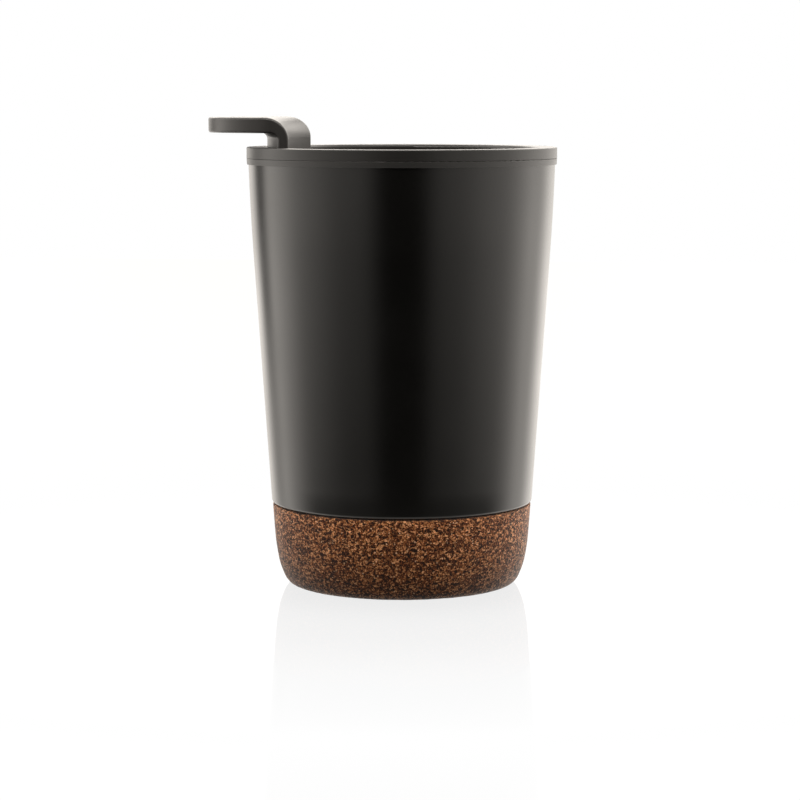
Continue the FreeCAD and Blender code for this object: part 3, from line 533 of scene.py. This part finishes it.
class Outline:
    """Cross-section of a turned piece, in millimetres of radius and height, drawn side by side."""

    def __init__(self, radius, height):
        self.points = [Vector((radius, height))]
        self.heading = Vector((1, 0))

    def line(self, radius, height):
        end = Vector((radius, height))
        self.heading = (end - self.points[-1]).normalized()
        self.points.append(end)
        return self

    def arc(self, radius, height, bend=None, steps=12):
        """Arc to a point: of radius bend, to the left if positive, or carrying on smoothly."""
        start = self.points[-1]
        chord = Vector((radius, height)) - start
        if bend is None:
            half = -self.heading.angle_signed(chord)
        else:
            half = math.asin(chord.length / 2 / bend)
        first = Matrix.Rotation(-half, 2) @ chord.normalized()
        for step in range(1, steps + 1):
            part = half * step / steps
            reach = chord.length * math.sin(part) / math.sin(half)
            self.points.append(start + Matrix.Rotation(part, 2) @ first * reach)
        self.heading = Matrix.Rotation(2 * half, 2) @ first
        return self

    def round(self, corner, then, size, steps=6):
        """Line to a corner, rounded by the size, towards the point that comes after it."""
        tip = Vector(corner)
        back = (self.points[-1] - tip).normalized()
        ahead = (Vector(then) - tip).normalized()
        trim = size / math.tan(back.angle(ahead) / 2)
        self.line(*(tip + back * trim))
        return self.arc(*(tip + ahead * trim), steps=steps)


SHARP_ANGLE = math.radians(40)


def turned(name, outline, segments, spacing=None):
    """Mesh of the closed outline turned about Z; long sides are split at the spacing, in mm."""
    corners = outline.points
    ring = []
    for start, end in zip(corners, corners[1:] + corners[:1]):
        pieces = 1 if spacing is None else max(1, round((end - start).length / spacing))
        for piece in range(pieces):
            ring.append(start.lerp(end, piece / pieces))
    count = len(ring)
    vertices = []
    for column in range(segments):
        turn = 2 * math.pi * column / segments
        for point in ring:
            vertices.append((point.x * MM * math.cos(turn), point.x * MM * math.sin(turn), point.y * MM))
    faces = []
    for column in range(segments):
        here = column * count
        there = (column + 1) % segments * count
        for i in range(count):
            j = (i + 1) % count
            faces.append((here + i, there + i, there + j, here + j))
    mesh = bpy.data.meshes.new(name)
    mesh.from_pydata(vertices, [], faces)
    mesh.polygons.foreach_set("use_smooth", [True] * len(faces))
    mesh.set_sharp_from_angle(angle=SHARP_ANGLE)
    mesh.validate()
    piece = bpy.data.objects.new(name, mesh)
    bpy.context.scene.collection.objects.link(piece)
    return piece


def stand_for(piece, node, body, slot):
    """Let a piece take the place of a CAD node."""
    piece.data.materials.append(LOOKS[slot])
    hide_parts(node)
    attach(piece, body)


sleeve_low, sleeve_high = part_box("outer_sleeve")
cork_low, cork_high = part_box("cork_base")
pad_low, pad_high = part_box("foot_pad")

SLEEVE_WALL = 0.5
SLEEVE_FOOT = sleeve_low[2] / MM
SLEEVE_TOP = sleeve_high[2] / MM
SLEEVE_TOP_RADIUS = sleeve_high[0] / MM
SLEEVE_FOOT_RADIUS = 37.23
SLEEVE_FOOT_ROUND = 1.0
SLEEVE_LIP_RADIUS = 34.0
BOW_START = 95.0
BOW_START_RADIUS = 42.2
BOW_RADIUS = 650.0
SLEEVE_SEGMENTS = 288
SLEEVE_SPACING = 6.0


def make_sleeve():
    """Steel sleeve: straight taper, slight bow to the rim, rounded foot turned inwards."""
    wall = SLEEVE_WALL
    foot = SLEEVE_FOOT
    section = Outline(SLEEVE_LIP_RADIUS, foot)
    section.round((SLEEVE_FOOT_RADIUS, foot), (BOW_START_RADIUS, BOW_START), SLEEVE_FOOT_ROUND)
    section.line(BOW_START_RADIUS, BOW_START)
    section.arc(SLEEVE_TOP_RADIUS, SLEEVE_TOP, bend=BOW_RADIUS)
    section.line(SLEEVE_TOP_RADIUS - wall, SLEEVE_TOP)
    section.arc(BOW_START_RADIUS - wall, BOW_START, bend=wall - BOW_RADIUS)
    section.round((SLEEVE_FOOT_RADIUS - wall, foot + wall), (SLEEVE_LIP_RADIUS, foot + wall),
                  SLEEVE_FOOT_ROUND - wall)
    section.line(SLEEVE_LIP_RADIUS, foot + wall)
    return turned("steel_sleeve", section, SLEEVE_SEGMENTS, spacing=SLEEVE_SPACING)


CORK_TOP = cork_high[2] / MM
CORK_TOP_RADIUS = 37.05
CORK_TOP_ROUND = 0.5
CORK_BEND = (36.6, 17.0)
CORK_FLANK = (35.65, 8.6)
CORK_HEEL = (33.5, 2.0)
CORK_HEEL_ROUND = 3.6
CORK_FOOT_RADIUS = 30.5
FLANGE_RADIUS = 35.4
FLANGE_SEAT = 22.2
BORE_RADIUS = 34.0
BORE_ROUND = 7.0
CORK_FLOOR = 4.0
HATCH_RADIUS = 24.0
PAD_SEAT_RADIUS = 26.0
PAD_HEIGHT = pad_high[2] / MM
CORK_SEGMENTS = 560
GRAIN_SPACING = 0.42
GRAIN_SIZE = 0.9 * MM
GRAIN_DEPTH = 0.07 * MM
CHIP_SIZE = 3.5 * MM
CHIP_DEPTH = 0.05 * MM


def make_cork():
    """Cork base, dense enough to carry the pressed grains as real relief."""
    section = Outline(PAD_SEAT_RADIUS, 0)
    section.line(CORK_FOOT_RADIUS, 0)
    section.arc(*CORK_HEEL, bend=CORK_HEEL_ROUND)
    section.arc(*CORK_FLANK)
    section.arc(*CORK_BEND)
    section.round((CORK_TOP_RADIUS, CORK_TOP), (FLANGE_RADIUS, CORK_TOP), CORK_TOP_ROUND)
    section.line(FLANGE_RADIUS, CORK_TOP)
    section.line(FLANGE_RADIUS, FLANGE_SEAT)
    section.line(BORE_RADIUS, FLANGE_SEAT)
    section.round((BORE_RADIUS, CORK_FLOOR), (HATCH_RADIUS, CORK_FLOOR), BORE_ROUND)
    section.line(HATCH_RADIUS, CORK_FLOOR)
    section.line(HATCH_RADIUS, PAD_HEIGHT)
    section.line(PAD_SEAT_RADIUS, PAD_HEIGHT)
    piece = turned("cork_shell", section, CORK_SEGMENTS, spacing=GRAIN_SPACING)
    sunk = []
    for vertex in piece.data.vertices:
        point = vertex.co
        outside = math.hypot(point.x, point.y) > FLANGE_RADIUS * MM or point.z < PAD_HEIGHT * MM
        depth = 0.0
        if outside or point.z < CORK_HEEL[1] * MM:
            gap = noise.voronoi(point / GRAIN_SIZE)[0][0]
            chip = max(0.0, noise.noise(point / CHIP_SIZE))
            depth = GRAIN_DEPTH * min(1.0, gap) + CHIP_DEPTH * chip
        sunk.append(point - vertex.normal * depth)
    for vertex, point in zip(piece.data.vertices, sunk):
        vertex.co = (point.x, point.y, max(point.z, 0.0))
    return piece


PAD_RADIUS = pad_high[0] / MM
PAD_EDGE = 0.4
PAD_CENTRE = 0.01
PAD_SEGMENTS = 192
GROOVE_DEPTH = 0.45
GROOVE_WIDTH = 0.9
GROOVES = [6.0, 10.0, 14.0, 18.0, 22.0]
CENTRE_DIMPLE = 1.5


def make_foot_pad():
    """Anti-slip disc with a rounded edge and rings moulded into its underside."""
    section = Outline(PAD_CENTRE, GROOVE_DEPTH)
    section.line(CENTRE_DIMPLE, GROOVE_DEPTH)
    section.line(CENTRE_DIMPLE + GROOVE_DEPTH, 0)
    for middle in GROOVES:
        section.line(middle - GROOVE_WIDTH, 0)
        section.line(middle - GROOVE_WIDTH / 2, GROOVE_DEPTH)
        section.line(middle + GROOVE_WIDTH / 2, GROOVE_DEPTH)
        section.line(middle + GROOVE_WIDTH, 0)
    section.round((PAD_RADIUS, 0), (PAD_RADIUS, PAD_HEIGHT), PAD_EDGE)
    section.line(PAD_RADIUS, PAD_HEIGHT)
    section.line(PAD_CENTRE, PAD_HEIGHT)
    return turned("grip_pad", section, PAD_SEGMENTS)


stand_for(make_sleeve(), "outer_sleeve", "cup", "coated_steel")
stand_for(make_cork(), "cork_base", "cup", "cork")
stand_for(make_foot_pad(), "foot_pad", "cup", "silicone")

make_camera()
make_world()
make_floor()
bpy.context.scene.view_settings.view_transform = "Standard"
